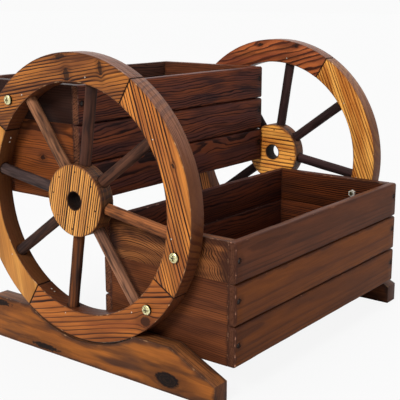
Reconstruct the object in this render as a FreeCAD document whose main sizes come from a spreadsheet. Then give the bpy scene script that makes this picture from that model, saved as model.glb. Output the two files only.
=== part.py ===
import FreeCAD, Part
import math
import os
import re
import Sketcher

# Wooden flower cart stand: two open planter boxes hung one above the other between
# two spoked wheels, each wheel standing in the curved seat of a foot beam.
# Millimetres and degrees. +X runs from the near wheel to the far one, +Y to the back,
# +Z up. The origin is on the ground below the middle of the stand.

sizes = {
    # wheels
    "wheelRadius": 200,
    "rimWidth": 39,
    "rimThickness": 26.5,
    "jointTurn": 31.3,
    "hubRadius": 50,
    "hubLength": 25,
    "hubProud": 3,
    "boreRadius": 12.5,
    "spokeRadius": 8,
    "spokePlane": 12.8,
    "socketClear": 0.7,
    "hubSocketDepth": 14,
    "rimSocketDepth": 12,
    "bradRadius": 0.9,
    "bradLength": 20,
    "bradSink": 0.3,
    "rimBradInset": 9,
    "hubBradInset": 9.5,
    "jointBradPlane": 14.5,
    "jointBradLean": 50,
    "jointBradLength": 36,
    "jointBradProud": 1,
    "fitClear": 0.05,
    # boxes
    "boxLength": 455,
    "boxDepth": 225,
    "boxGap": 6,
    "plankHeight": 54.5,
    "plankGap": 1.5,
    "plankThick": 12,
    "plankRound": 3.5,
    "endThick": 15,
    "floorThick": 8,
    "floorGap": 7,
    "lowSet": 20,
    "lowDrop": 25.4,
    "highSet": 22.3,
    "highDrop": 14.4,
    # corner nails
    "nailRadius": 1.2,
    "nailHeadRadius": 2.4,
    "nailHead": 1,
    "nailLength": 35,
    "nailSink": 1,
    "sinkRadius": 2.8,
    "nailRiseNear1": 2.2,
    "nailRiseNear2": 5.1,
    "nailRiseNear3": 1.9,
    "nailRiseFar1": 6.7,
    "nailRiseFar2": 7.1,
    "nailRiseFar3": 5.3,
    # floor brads
    "floorBradRadius": 0.8,
    "floorBradLength": 24,
    "floorBradFirst": 72,
    "floorBradPitch": 22,
    "floorBradInset": 11,
    # bolts
    "boltRadius": 3,
    "boltClear": 0.3,
    "boltHeadRadius": 7,
    "boltHead": 4.5,
    "boltHeadRound": 2.4,
    "recessSpan": 7,
    "recessWidth": 1.5,
    "recessDepth": 2,
    "boltTail": 2,
    "boltDropHigh": 23.7,
    "boltDropLow": 103.1,
    "nutRadius": 5.8,
    "nutHeight": 5,
    "spacerRadius": 7,
    # feet
    "footLength": 495,
    "footHeight": 64,
    "footShift": 10.8,
    "footEnd": 29,
    "footSlope": 74,
    "wheelLift": 36.8,
    "seatTighten": 22,
    "seatClear": 0.3,
    "screwRadius": 2,
    "screwHeadRadius": 4,
    "screwHead": 3,
    "screwLength": 50,
    "screwSink": 22,
    "screwSpread": 88,
}

# Values worked out from the sizes above.
derived = {
    "rimInner": "wheelRadius - rimWidth",
    "rimMiddle": "wheelRadius - rimWidth / 2",
    "axleHeight": "wheelLift + wheelRadius",
    "frontReach": "footLength / 2 - footShift",
    "backReach": "footLength / 2 + footShift",
    "axleY": "(max(lowSet + boxDepth; frontReach) - max(highSet + boxDepth; backReach)) / 2",
    "nearX": "-boxLength / 2 - boxGap - rimThickness",
    "farX": "boxLength / 2 + boxGap",
    "felloeSpan": "360 / felloeCount",
    "spokeStep": "360 / spokeCount",
    "socketRadius": "spokeRadius + socketClear",
    "spokeStart": "hubRadius - hubSocketDepth",
    "spokeEnd": "rimInner + rimSocketDepth",
    "hubBradCircle": "hubRadius - hubBradInset",
    "rimBradCircle": "rimInner + rimBradInset",
    "boltHole": "boltRadius + boltClear",
    "boxHeight": "3 * plankHeight + 2 * plankGap",
    "endWidth": "boxDepth - 2 * plankThick",
    "lowerBoard": "2 * plankHeight + 2 * plankGap",
    "floorWidth": "(endWidth - floorGap) / 2",
    "floorLength": "boxLength - 2 * endThick",
    "lowFront": "axleY - lowSet - boxDepth",
    "lowBase": "axleHeight - lowDrop - boxHeight",
    "highFront": "axleY + highSet",
    "highBase": "axleHeight - highDrop",
    "boltRiseHigh": "boxHeight - boltDropHigh",
    "boltRiseLow": "boxHeight - boltDropLow",
    "boltLength": "rimThickness + boxGap + endThick + nutHeight + boltTail",
    "seatHalf": "sqrt((wheelRadius + seatClear)^2 - (axleHeight - footHeight)^2)",
    "seatRadius": "wheelRadius - seatTighten",
    "bradBore": "bradRadius + fitClear",
    "floorBradBore": "floorBradRadius + fitClear",
    "nailBore": "nailRadius + fitClear",
    "screwBore": "screwRadius + fitClear",
}

wheels = {"near": "nearX", "far": "farX"}
boxes = {"low": ("lowFront", "lowBase", -1, "lowSet"), "high": ("highFront", "highBase", 1, "highSet")}
floorBradRise = "floorThick / 2"
plankBase = {1: "2 * plankHeight + 2 * plankGap", 2: "plankHeight + plankGap", 3: "0"}

# How far each spoke's hub brad and rim brad were driven off the spoke's own line. Spokes
# are counted from the one nearest the top, towards the front.
hubDrift = [-4.4, -0.1, 3.7, -0.8, -1.4, 0, 1, -6]
rimDrift = [-0.5, 1.2, 0, 0.9, 0.8, 0, -0.5, 0.1]
counts = {"felloeCount": 4, "spokeCount": len(hubDrift)}
# Two brads are driven from inside the rim across each joint, this far short of it.
jointShort = [5.2, 7.6]
# The felloes that the foot screws reach.
lowFelloes = (1, 2)

xAxis = FreeCAD.Vector(1, 0, 0)
yAxis = FreeCAD.Vector(0, 1, 0)
zAxis = FreeCAD.Vector(0, 0, 1)
alongX = (yAxis, "90")
towardsBack = (xAxis, "-90")
towardsFront = (xAxis, "90")
near = 0.001

document = FreeCAD.newDocument("FlowerCartStand")
sheet = document.addObject("Spreadsheet::Sheet", "Sizes")
for row, (alias, number) in enumerate(sizes.items(), start=1):
    sheet.set(f"A{row}", alias)
    sheet.set(f"B{row}", str(number))
    sheet.setAlias(f"B{row}", alias)
document.recompute()

nodes = []


def formula(text):
    # Names of sizes become sheet cells, and derived names become their own formulas.
    def swap(match):
        word = match.group()
        if word in derived:
            return f"({formula(derived[word])})"
        return f"Sizes.{word}" if word in sizes else str(counts.get(word, word))
    return re.sub(r"[A-Za-z]\w*", swap, str(text))


def value(text):
    return float(sheet.evalExpression(formula(text)))


def bind(thing, **rules):
    for name, text in rules.items():
        thing.setExpression(name, formula(text))


def place(thing, x="0", y="0", z="0", turn=None):
    if turn:
        axis, angle = turn
        thing.Placement = FreeCAD.Placement(FreeCAD.Vector(), FreeCAD.Rotation(axis, value(angle)))
        thing.setExpression("Placement.Rotation.Angle", formula(angle))
    for name, text in zip("xyz", (x, y, z)):
        thing.setExpression(f"Placement.Base.{name}", formula(text))


def body(label, node=True):
    thing = document.addObject("PartDesign::Body", label)
    thing.Label = label
    if node:
        nodes.append(thing)
    return thing


def feature(owner, kind, name, **rules):
    thing = owner.newObject(f"PartDesign::{kind}", name)
    bind(thing, **rules)
    return thing


def drill(owner, name, radius, depth, x="0", y="0", z="0", turn=None):
    # A round hole from the given point: up, unless turned.
    hole = feature(owner, "SubtractiveCylinder", name, Radius=radius, Height=depth)
    place(hole, x, y, z, turn)
    return hole


def edgesWhere(thing, test):
    # The names of the edges whose bounding boxes pass the test.
    return [f"Edge{number}" for number, edge in enumerate(thing.Shape.Edges, start=1) if test(edge.BoundBox)]


def axisOf(owner, role):
    return next(item for item in owner.Origin.OriginFeatures if item.Role == role)


def sketch(owner, name):
    # A sketch across the X axis: its own axes are the body's Y and Z.
    drawing = owner.newObject("Sketcher::SketchObject", name)
    drawing.AttachmentSupport = [(axisOf(owner, "YZ_Plane"), "")]
    drawing.MapMode = "FlatFace"
    return drawing


def dimension(drawing, *constraint):
    *fixed, text = constraint
    index = drawing.addConstraint(Sketcher.Constraint(*fixed, value(text)))
    drawing.setExpression(f"Constraints[{index}]", formula(text))


def pinPoint(drawing, line, point, y, z):
    # Fixes a point of the drawing at y and z from the body's axes.
    for kind, text in (("DistanceX", y), ("DistanceY", z)):
        if value(text) < 0:
            dimension(drawing, kind, line, point, -1, 1, f"-({text})")
        else:
            dimension(drawing, kind, -1, 1, line, point, text)


def link(master, name, x, y, z, turn=None):
    copy = document.addObject("App::Link", name)
    copy.LinkedObject = master
    place(copy, x, y, z, turn)
    return copy


def group(label, members):
    # One node of separate solids, such as a set of like fasteners.
    thing = document.addObject("Part::Compound", label)
    thing.Label = label
    thing.Links = members
    nodes.append(thing)


def spin(angle):
    # A piece that points up is turned about the axle, from straight up to the front.
    return (xAxis, str(angle))


def spokeTurn(index):
    # Spokes stand evenly to both sides of each joint of the rim.
    return f"(jointTurn + {index - 0.5} * spokeStep)"


def turnedBack(y, z, start):
    # A point given from the axle, as a felloe with this start has it before it is turned.
    return f"{y} * cos({start}) + {z} * sin({start})", f"{z} * cos({start}) - {y} * sin({start})"


def boltSpot(box, rise):
    # A bolt stands at its height in the box, on the rim's middle circle, or nearer the
    # axle where the points of the corner nails would be in its way.
    _, base, side, gap = boxes[box]
    level = f"({base} + {rise} - axleHeight)"
    out = f"min(sqrt(rimMiddle^2 - {level}^2); {gap} + boxDepth - nailLength - boltHole - boltClear)"
    return f"({side} * {out})", level


def boltSpots():
    # The four bolts of a wheel, from the first felloe's to the last one's.
    spots = (("low", "boltRiseHigh"), ("low", "boltRiseLow"), ("high", "boltRiseLow"), ("high", "boltRiseHigh"))
    return [boltSpot(*spot) for spot in spots]


def toe(turn, back):
    # A point on a joint brad's line, which leans over from the rim's inner face at this
    # turn, and this far back from that face.
    y = f"{back} * sin({turn} + jointBradLean) - rimInner * sin({turn})"
    z = f"rimInner * cos({turn}) - {back} * cos({turn} + jointBradLean)"
    return y, z


def makeFelloe(wheel, index, bolt):
    # A quarter of the rim, its first end straight up before it is turned to its joint.
    part = body(f"wheel_{wheel}_felloe_{index + 1}")
    start = f"jointTurn + {index} * felloeSpan"
    outline = sketch(part, "outline")
    outer, inner = value("wheelRadius"), value("rimInner")
    for radius in (outer, inner):
        circle = Part.Circle(FreeCAD.Vector(), zAxis, radius)
        outline.addGeometry(Part.ArcOfCircle(circle, math.pi / 2, math.pi))
    outline.addGeometry(Part.LineSegment(FreeCAD.Vector(0, outer, 0), FreeCAD.Vector(0, inner, 0)))
    outline.addGeometry(Part.LineSegment(FreeCAD.Vector(-outer, 0, 0), FreeCAD.Vector(-inner, 0, 0)))
    for arc, radius in ((0, "wheelRadius"), (1, "rimInner")):
        outline.addConstraint(Sketcher.Constraint("Coincident", arc, 3, -1, 1))
        dimension(outline, "Radius", arc, radius)
        outline.addConstraint(Sketcher.Constraint("Coincident", arc, 1, 2, arc + 1))
        outline.addConstraint(Sketcher.Constraint("Coincident", arc, 2, 3, arc + 1))
        outline.addConstraint(Sketcher.Constraint("PointOnObject", arc, 1, -2))
        outline.addConstraint(Sketcher.Constraint("PointOnObject", arc, 2, -1))
    pad = feature(part, "Pad", "ring", Length="rimThickness")
    pad.Profile = outline
    for number in range(2):
        turn = f"{number + 0.5} * spokeStep"
        spoke = (2 * index + 1 + number) % len(rimDrift)
        drill(part, f"socket{number}", "socketRadius", "spokeEnd", x="spokePlane", turn=spin(turn))
        brad = f"{turn} + {rimDrift[spoke]}"
        drill(part, f"brad{number}", "bradBore", "bradLength + bradSink", turn=alongX,
              y=f"-rimBradCircle * sin({brad})", z=f"rimBradCircle * cos({brad})")
    y, z = turnedBack(*bolt, start)
    drill(part, "bolt", "boltHole", "rimThickness", turn=alongX, y=y, z=z)
    for number, short in enumerate(jointShort):
        for end, turn in (("start", f"-{short}"), ("end", f"felloeSpan - {short}")):
            y, z = toe(turn, "2 * jointBradProud")
            drill(part, f"{end}Brad{number}", "bradBore", "jointBradLength + jointBradProud",
                  x="jointBradPlane", y=y, z=z, turn=spin(f"{turn} + jointBradLean"))
    for number, side in enumerate((-1, 1) if index in lowFelloes else ()):
        y, z = turnedBack(f"({side} * screwSpread)", "(-axleHeight)", start)
        drill(part, f"screw{number}", "screwBore", "screwSink + screwLength", turn=spin(f"-({start})"),
              x="rimThickness / 2", y=y, z=z)
    place(part, wheels[wheel], "axleY", "axleHeight", spin(start))


def makeHub(wheel):
    part = body(f"wheel_{wheel}_hub")
    disc = sketch(part, "disc")
    for index, radius in enumerate(("hubRadius", "boreRadius")):
        disc.addGeometry(Part.Circle(FreeCAD.Vector(), zAxis, value(radius)))
        disc.addConstraint(Sketcher.Constraint("Coincident", index, 3, -1, 1))
        dimension(disc, "Radius", index, radius)
    disc.setExpression("AttachmentOffset.Base.z", formula("-hubProud"))
    pad = feature(part, "Pad", "turned", Length="hubLength")
    pad.Profile = disc
    socket = drill(part, "socket", "socketRadius", "hubRadius", x="spokePlane", z="spokeStart")
    ring = part.newObject("PartDesign::PolarPattern", "sockets")
    ring.Originals = [socket]
    ring.Axis = (axisOf(part, "X_Axis"), [""])
    ring.Angle = 360
    ring.Occurrences = counts["spokeCount"]
    part.Tip = ring
    for index, drift in enumerate(hubDrift):
        turn = f"{index} * spokeStep + {drift}"
        drill(part, f"brad{index}", "bradBore", "bradLength + bradSink", turn=alongX, x="-hubProud",
              y=f"-hubBradCircle * sin({turn})", z=f"hubBradCircle * cos({turn})")
    place(part, wheels[wheel], "axleY", "axleHeight", spin(spokeTurn(0)))


def makeSpoke(wheel, index):
    # A dowel from the bottom of its hub socket to the bottom of its rim socket.
    part = body(f"wheel_{wheel}_spoke_{index + 1}")
    dowel = feature(part, "AdditiveCylinder", "dowel", Radius="spokeRadius", Height="spokeEnd - spokeStart")
    place(dowel, "spokePlane", "0", "spokeStart")
    ends = (("rimBradCircle", rimDrift[index], "0"), ("hubBradCircle", hubDrift[index], "-hubProud"))
    for number, (circle, drift, face) in enumerate(ends):
        drill(part, f"brad{number}", "bradBore", "bradLength + bradSink", turn=alongX, x=face,
              y=f"-{circle} * sin({drift})", z=f"{circle} * cos({drift})")
    place(part, wheels[wheel], "axleY", "axleHeight", spin(spokeTurn(index)))


def makeWheelBrads(wheel, brad, jointBrad):
    # Brads pin each spoke in hub and rim, and two more hold each joint of the rim.
    members = []
    face = wheels[wheel]
    for index in range(counts["spokeCount"]):
        ends = (("rimBradCircle", rimDrift[index], "0"), ("hubBradCircle", hubDrift[index], "hubProud"))
        for circle, drift, proud in ends:
            turn = f"{spokeTurn(index)} + {drift}"
            y, z = f"axleY - {circle} * sin({turn})", f"axleHeight + {circle} * cos({turn})"
            members.append(link(brad, f"{wheel}Brad", f"{face} - {proud} + bradSink", y, z, alongX))
    for index in range(counts["felloeCount"]):
        for short in jointShort:
            turn = f"(jointTurn + {index + 1} * felloeSpan - {short})"
            y, z = toe(turn, "jointBradProud")
            lean = spin(f"{turn} + jointBradLean")
            members.append(link(jointBrad, f"{wheel}JointBrad", f"{face} + jointBradPlane",
                                f"axleY + {y}", f"axleHeight + {z}", lean))
    group(f"wheel_{wheel}_brads", members)


def makePlank(box, wall, row):
    # A wall plank with its outer edges rounded over. The outer face is the local front,
    # so a back plank is turned half round and its ends change places.
    front, base, *_ = boxes[box]
    part = body(f"box_{box}_{wall}_{row}")
    board = feature(part, "AdditiveBox", "board", Length="boxLength", Width="plankThick", Height="plankHeight")
    document.recompute()
    rounded = feature(part, "Fillet", "rounded", Radius="plankRound")
    rounded.Base = (board, edgesWhere(board, lambda box: box.YMax < near and box.XLength > near))
    ends = [f"nailRiseNear{row}", f"nailRiseFar{row}"]
    if wall == "back":
        ends.reverse()
    for number, (rise, x) in enumerate(zip(ends, ("endThick / 2", "boxLength - endThick / 2"))):
        height = f"plankHeight / 2 + {rise}"
        drill(part, f"nail{number}", "nailBore", "plankThick", x=x, z=height, turn=towardsBack)
        drill(part, f"sink{number}", "sinkRadius", "nailSink + nailHead", x=x, z=height, turn=towardsBack)
    if row == 3:
        for number, x in enumerate(floorBradSpots()):
            drill(part, f"brad{number}", "floorBradBore", "plankThick", x=x, z=floorBradRise, turn=towardsBack)
    if wall == "front":
        place(part, "-boxLength / 2", front, f"{base} + {plankBase[row]}")
    else:
        place(part, "boxLength / 2", f"{front} + boxDepth", f"{base} + {plankBase[row]}", (zAxis, "180"))


def floorBradSpots():
    first = ["floorBradFirst", "floorBradFirst + floorBradPitch"]
    return first + [f"boxLength - ({spot})" for spot in first]


def makeEnd(box, end, board):
    # An end is two boards glued edge to edge, level with the foot of the top plank.
    front, base, *_ = boxes[box]
    part = body(f"box_{box}_end_{end}_{board}")
    low = board == "lower"
    height = "lowerBoard" if low else "plankHeight"
    rise = "0" if low else "lowerBoard"
    feature(part, "AdditiveBox", "board", Length="endThick", Width="endWidth", Height=height)
    letter = "Near" if end == "near" else "Far"
    for row in (2, 3) if low else (1,):
        z = f"{plankBase[row]} + plankHeight / 2 + nailRise{letter}{row} - {rise}"
        depth = "nailLength - plankThick"
        drill(part, f"frontNail{row}", "nailBore", depth, x="endThick / 2", z=z, turn=towardsBack)
        drill(part, f"backNail{row}", "nailBore", depth, x="endThick / 2", y="endWidth", z=z, turn=towardsFront)
    if low:
        for number, y in enumerate(("floorBradInset", "endWidth - floorBradInset")):
            drill(part, f"brad{number}", "floorBradBore", "endThick", y=y, z=floorBradRise, turn=alongX)
    y, z = boltSpot(box, "boltRiseLow" if low else "boltRiseHigh")
    drill(part, "bolt", "boltHole", "endThick", turn=alongX,
          y=f"axleY + {y} - {front} - plankThick", z=f"axleHeight + {z} - {base} - {rise}")
    x = "-boxLength / 2" if end == "near" else "boxLength / 2 - endThick"
    place(part, x, f"{front} + plankThick", f"{base} + {rise}")


def makeFloor(box, index):
    # The floor is two long boards with a drainage gap between them.
    front, base, *_ = boxes[box]
    part = body(f"box_{box}_floor_{index + 1}")
    feature(part, "AdditiveBox", "board", Length="floorLength", Width="floorWidth", Height="floorThick")
    bite = "floorBradLength - plankThick"
    side, turn = ("0", towardsBack) if index == 0 else ("floorWidth", towardsFront)
    for number, x in enumerate(floorBradSpots()):
        x = f"{x} - endThick"
        drill(part, f"side{number}", "floorBradBore", bite, x=x, y=side, z=floorBradRise, turn=turn)
    inset = "floorBradInset" if index == 0 else "floorWidth - floorBradInset"
    depth = "floorBradLength - endThick"
    for number, x in enumerate(("0", f"floorLength - ({depth})")):
        drill(part, f"end{number}", "floorBradBore", depth, x=x, y=inset, z=floorBradRise, turn=alongX)
    place(part, "endThick - boxLength / 2", f"{front} + plankThick + {index} * (floorWidth + floorGap)", base)


def makeBoxNails(box, nail, brad):
    front, base, *_ = boxes[box]
    bradHeight = f"{base} + {floorBradRise}"
    members = []
    for wall, y, turn in (("front", front, towardsBack), ("back", f"{front} + boxDepth", towardsFront)):
        for row in plankBase:
            for end, x in (("Near", "(endThick - boxLength) / 2"), ("Far", "(boxLength - endThick) / 2")):
                z = f"{base} + {plankBase[row]} + plankHeight / 2 + nailRise{end}{row}"
                members.append(link(nail, f"{box}Nail", x, y, z, turn))
        for x in floorBradSpots():
            members.append(link(brad, f"{box}FloorBrad", f"{x} - boxLength / 2", y, bradHeight, turn))
    for x, turn in (("-boxLength / 2", alongX), ("boxLength / 2", (yAxis, "-90"))):
        for y in ("floorBradInset", "endWidth - floorBradInset"):
            members.append(link(brad, f"{box}EndBrad", x, f"{front} + plankThick + {y}", bradHeight, turn))
    group(f"box_{box}_nails", members)


def makeFoot(wheel):
    # A beam with sloped ends and a seat cut a little tighter than the wheel, which the
    # rim rests in at the seat's two edges.
    part = body(f"foot_{wheel}")
    corners = [
        ("-frontReach", "0"), ("-frontReach", "footEnd"), ("footSlope - frontReach", "footHeight"),
        ("-seatHalf", "footHeight"), ("seatHalf", "footHeight"), ("backReach - footSlope", "footHeight"),
        ("backReach", "footEnd"), ("backReach", "0"),
    ]
    points = [FreeCAD.Vector(value(y), value(z), 0) for y, z in corners]
    seat = 3
    outline = sketch(part, "outline")
    for index, point in enumerate(points):
        after = points[(index + 1) % len(points)]
        if index == seat:
            reach = value("sqrt(seatRadius^2 - seatHalf^2)")
            middle = FreeCAD.Vector(0, point.y + reach, 0)
            lean = math.atan2(value("seatHalf"), reach)
            circle = Part.Circle(middle, zAxis, value("seatRadius"))
            outline.addGeometry(Part.ArcOfCircle(circle, -math.pi / 2 - lean, -math.pi / 2 + lean))
        else:
            outline.addGeometry(Part.LineSegment(point, after))
    for index, (y, z) in enumerate(corners):
        before = (index - 1) % len(corners)
        outline.addConstraint(Sketcher.Constraint("Coincident", before, 2, index, 1))
        pinPoint(outline, index, 1, y, z)
    dimension(outline, "Radius", seat, "seatRadius")
    pad = feature(part, "Pad", "beam", Length="rimThickness")
    pad.Profile = outline
    for number, side in enumerate((-1, 1)):
        spot = {"x": "rimThickness / 2", "y": f"{side} * screwSpread"}
        drill(part, f"screw{number}", "screwBore", "footHeight", **spot)
        drill(part, f"screwSink{number}", "screwHeadRadius + boltClear", "screwSink + screwHead", **spot)
    place(part, wheels[wheel], "axleY")


def makeBolt():
    # A pan head bolt with a cross recess, its shank running along +Z from the rim face.
    part = body("bolt", node=False)
    head = feature(part, "AdditiveCylinder", "head", Radius="boltHeadRadius", Height="boltHead")
    place(head, z="-boltHead")
    document.recompute()
    crown = feature(part, "Fillet", "crown", Radius="boltHeadRound")
    crown.Base = (head, edgesWhere(head, lambda box: box.ZMax < near - value("boltHead")))
    shank = feature(part, "AdditiveCylinder", "shank", Radius="boltRadius", Height="boltLength")
    place(shank)
    for name, wide, deep in (("slot", "recessSpan", "recessWidth"), ("crossSlot", "recessWidth", "recessSpan")):
        slot = feature(part, "SubtractiveBox", name, Length=wide, Width=deep, Height="recessDepth")
        place(slot, f"-{wide} / 2", f"-{deep} / 2", "-boltHead")
    return part


def makeNail():
    part = body("nail", node=False)
    head = feature(part, "AdditiveCylinder", "head", Radius="nailHeadRadius", Height="nailHead")
    place(head, z="nailSink")
    shank = feature(part, "AdditiveCylinder", "shank", Radius="nailRadius", Height="nailLength - nailSink")
    place(shank, z="nailSink")
    return part


def makeScrew():
    part = body("screw", node=False)
    head = feature(part, "AdditiveCylinder", "head", Radius="screwHeadRadius", Height="screwHead")
    place(head, z="screwSink")
    shank = feature(part, "AdditiveCylinder", "shank", Radius="screwRadius", Height="screwLength")
    place(shank, z="screwSink")
    return part


def makePin(name, radius, length):
    pin = document.addObject("Part::Cylinder", name)
    bind(pin, Radius=radius, Height=length)
    return pin


def makeNut():
    hexagon = document.addObject("Part::Prism", "nutBlank")
    hexagon.Polygon = 6
    bind(hexagon, Circumradius="nutRadius", Height="nutHeight")
    return bored("nut", hexagon, "boltRadius + fitClear", "nutHeight")


def makeSpacer():
    return bored("spacer", makePin("spacerBlank", "spacerRadius", "boxGap"), "boltRadius + boltClear", "boxGap")


def bored(name, blank, radius, length):
    ring = document.addObject("Part::Cut", name)
    ring.Base = blank
    ring.Tool = makePin(f"{name}Bore", radius, length)
    return ring


def makeFasteners():
    # Bolts enter from the wheels' outer faces, cross a spacer and the box end, and are
    # held by a nut inside the box.
    masters = {"bolts": makeBolt(), "spacers": makeSpacer(), "nuts": makeNut()}
    depth = {"bolts": "0", "spacers": "rimThickness", "nuts": "rimThickness + boxGap + endThick"}
    for label, master in masters.items():
        members = []
        for box in boxes:
            for rise in ("boltRiseHigh", "boltRiseLow"):
                y, z = boltSpot(box, rise)
                y, z = f"axleY + {y}", f"axleHeight + {z}"
                members.append(link(master, f"{label}Copy", f"nearX + {depth[label]}", y, z, alongX))
                members.append(link(master, f"{label}Copy", f"-nearX - ({depth[label]})", y, z, (yAxis, "-90")))
        group(label, members)
    screw = makeScrew()
    members = []
    for face in wheels.values():
        for side in (-1, 1):
            y = f"axleY + {side} * screwSpread"
            members.append(link(screw, "footScrew", f"{face} + rimThickness / 2", y, "0"))
    group("foot_screws", members)


def makeWheel(wheel, brad, jointBrad):
    for index, bolt in enumerate(boltSpots()):
        makeFelloe(wheel, index, bolt)
    for index in range(counts["spokeCount"]):
        makeSpoke(wheel, index)
    makeHub(wheel)
    makeWheelBrads(wheel, brad, jointBrad)


def makeBox(box, nail, brad):
    for wall in ("front", "back"):
        for row in plankBase:
            makePlank(box, wall, row)
    for end in wheels:
        for board in ("upper", "lower"):
            makeEnd(box, end, board)
    for index in range(2):
        makeFloor(box, index)
    makeBoxNails(box, nail, brad)


wheelBrad = makePin("wheelBrad", "bradRadius", "bradLength")
jointBrad = makePin("jointBrad", "bradRadius", "jointBradLength")
floorBrad = makePin("floorBrad", "floorBradRadius", "floorBradLength")
cornerNail = makeNail()
for wheel in wheels:
    makeWheel(wheel, wheelBrad, jointBrad)
    makeFoot(wheel)
for box in boxes:
    makeBox(box, cornerNail, floorBrad)
makeFasteners()
document.recompute()

failed = [item.Label for item in document.Objects if {"Invalid", "Error"} & set(item.State)]
failed += [node.Label for node in nodes if node.Shape.isNull() or not node.Shape.isValid()]
if failed:
    raise RuntimeError(f"failed: {failed}")
os.makedirs("parts", exist_ok=True)
for node in nodes:
    node.Shape.exportStep(f"parts/{node.Label}.step")
print(len(nodes), "nodes")
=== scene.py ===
import math

import bmesh
import bpy
from mathutils import Matrix, Vector, noise


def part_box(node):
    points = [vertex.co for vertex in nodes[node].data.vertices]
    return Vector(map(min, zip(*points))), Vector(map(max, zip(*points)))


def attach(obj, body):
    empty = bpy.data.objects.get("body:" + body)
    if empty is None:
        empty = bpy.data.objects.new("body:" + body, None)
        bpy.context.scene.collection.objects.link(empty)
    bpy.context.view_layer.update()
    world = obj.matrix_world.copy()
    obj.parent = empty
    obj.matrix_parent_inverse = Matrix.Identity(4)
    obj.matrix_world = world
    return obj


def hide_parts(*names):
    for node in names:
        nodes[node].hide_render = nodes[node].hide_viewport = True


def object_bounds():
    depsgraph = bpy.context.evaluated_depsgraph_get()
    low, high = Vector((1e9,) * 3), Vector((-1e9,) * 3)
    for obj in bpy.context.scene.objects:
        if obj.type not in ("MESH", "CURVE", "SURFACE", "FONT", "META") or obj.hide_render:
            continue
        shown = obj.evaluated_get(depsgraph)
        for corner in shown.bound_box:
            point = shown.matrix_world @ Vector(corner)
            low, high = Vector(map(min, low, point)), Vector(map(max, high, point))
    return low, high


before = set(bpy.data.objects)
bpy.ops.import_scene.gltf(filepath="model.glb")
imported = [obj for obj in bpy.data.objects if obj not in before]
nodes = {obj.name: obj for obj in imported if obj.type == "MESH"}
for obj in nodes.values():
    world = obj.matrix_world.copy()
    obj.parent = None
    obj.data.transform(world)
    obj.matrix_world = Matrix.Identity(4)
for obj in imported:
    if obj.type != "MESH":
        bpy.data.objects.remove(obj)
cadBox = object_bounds()
print("frame loaded,", len(nodes), "nodes")

mm = 1000   # the frame is in metres, the patterns are in mm


def tint(code):
    # A colour given as on a colour card, made linear for the shaders.
    parts = [int(code[at:at + 2], 16) / 255 for at in (0, 2, 4)]
    return tuple(part / 12.92 if part < 0.041 else ((part + 0.055) / 1.055) ** 2.4 for part in parts) + (1,)


# Shader maths

class Wire:
    def __init__(self, tree, socket=None):
        self.tree = tree
        self.socket = socket

    def node(self, kind, settings=None, values=None, output=0):
        made = self.tree.nodes.new("ShaderNode" + kind)
        for name, value in (settings or {}).items():
            setattr(made, name, value)
        for name, value in (values or {}).items():
            if isinstance(value, Wire):
                self.tree.links.new(value.socket, made.inputs[name])
            else:
                made.inputs[name].default_value = value
        return Wire(self.tree, made.outputs[output])

    def math(self, operation, *values):
        return self.node("Math", {"operation": operation}, dict(enumerate(values)))

    def __add__(self, other):
        return self.math("ADD", self, other)

    def __sub__(self, other):
        return self.math("SUBTRACT", self, other)

    def __rsub__(self, other):
        return self.math("SUBTRACT", other, self)

    def __mul__(self, other):
        return self.math("MULTIPLY", self, other)

    def __truediv__(self, other):
        return self.math("DIVIDE", self, other)

    __radd__ = __add__
    __rmul__ = __mul__

    def most(self, other):
        return self.math("MAXIMUM", self, other)

    def least(self, other):
        return self.math("MINIMUM", self, other)

    def absolute(self):
        return self.math("ABSOLUTE", self)

    def root(self):
        return self.math("SQRT", self)

    def rise(self, low, high):
        return self.node("MapRange", {"interpolation_type": "SMOOTHSTEP"}, {0: self, 1: low, 2: high})

    def spread(self, low, high):
        # From 0 to 1, to between these two.
        return self * (high - low) + low

    def split(self):
        first = self.node("SeparateXYZ", None, {0: self})
        return [Wire(self.tree, socket) for socket in first.socket.node.outputs]

    def blend(self, other, share, kind="MIX"):
        return self.node("Mix", {"data_type": "RGBA", "blend_type": kind}, {0: share, 6: self, 7: other}, 2)

    def between(self, one, other):
        # A share picks a colour between two.
        return self.node("Mix", {"data_type": "RGBA"}, {0: self, 6: one, 7: other}, 2)


def clouds(at, detail=1.0, scale=1.0):
    return at.node("TexNoise", None, {"Vector": at, "Scale": scale, "Detail": detail})


# One wood for the whole stand: rings round a pith line, cut by whatever shape a piece has

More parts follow.
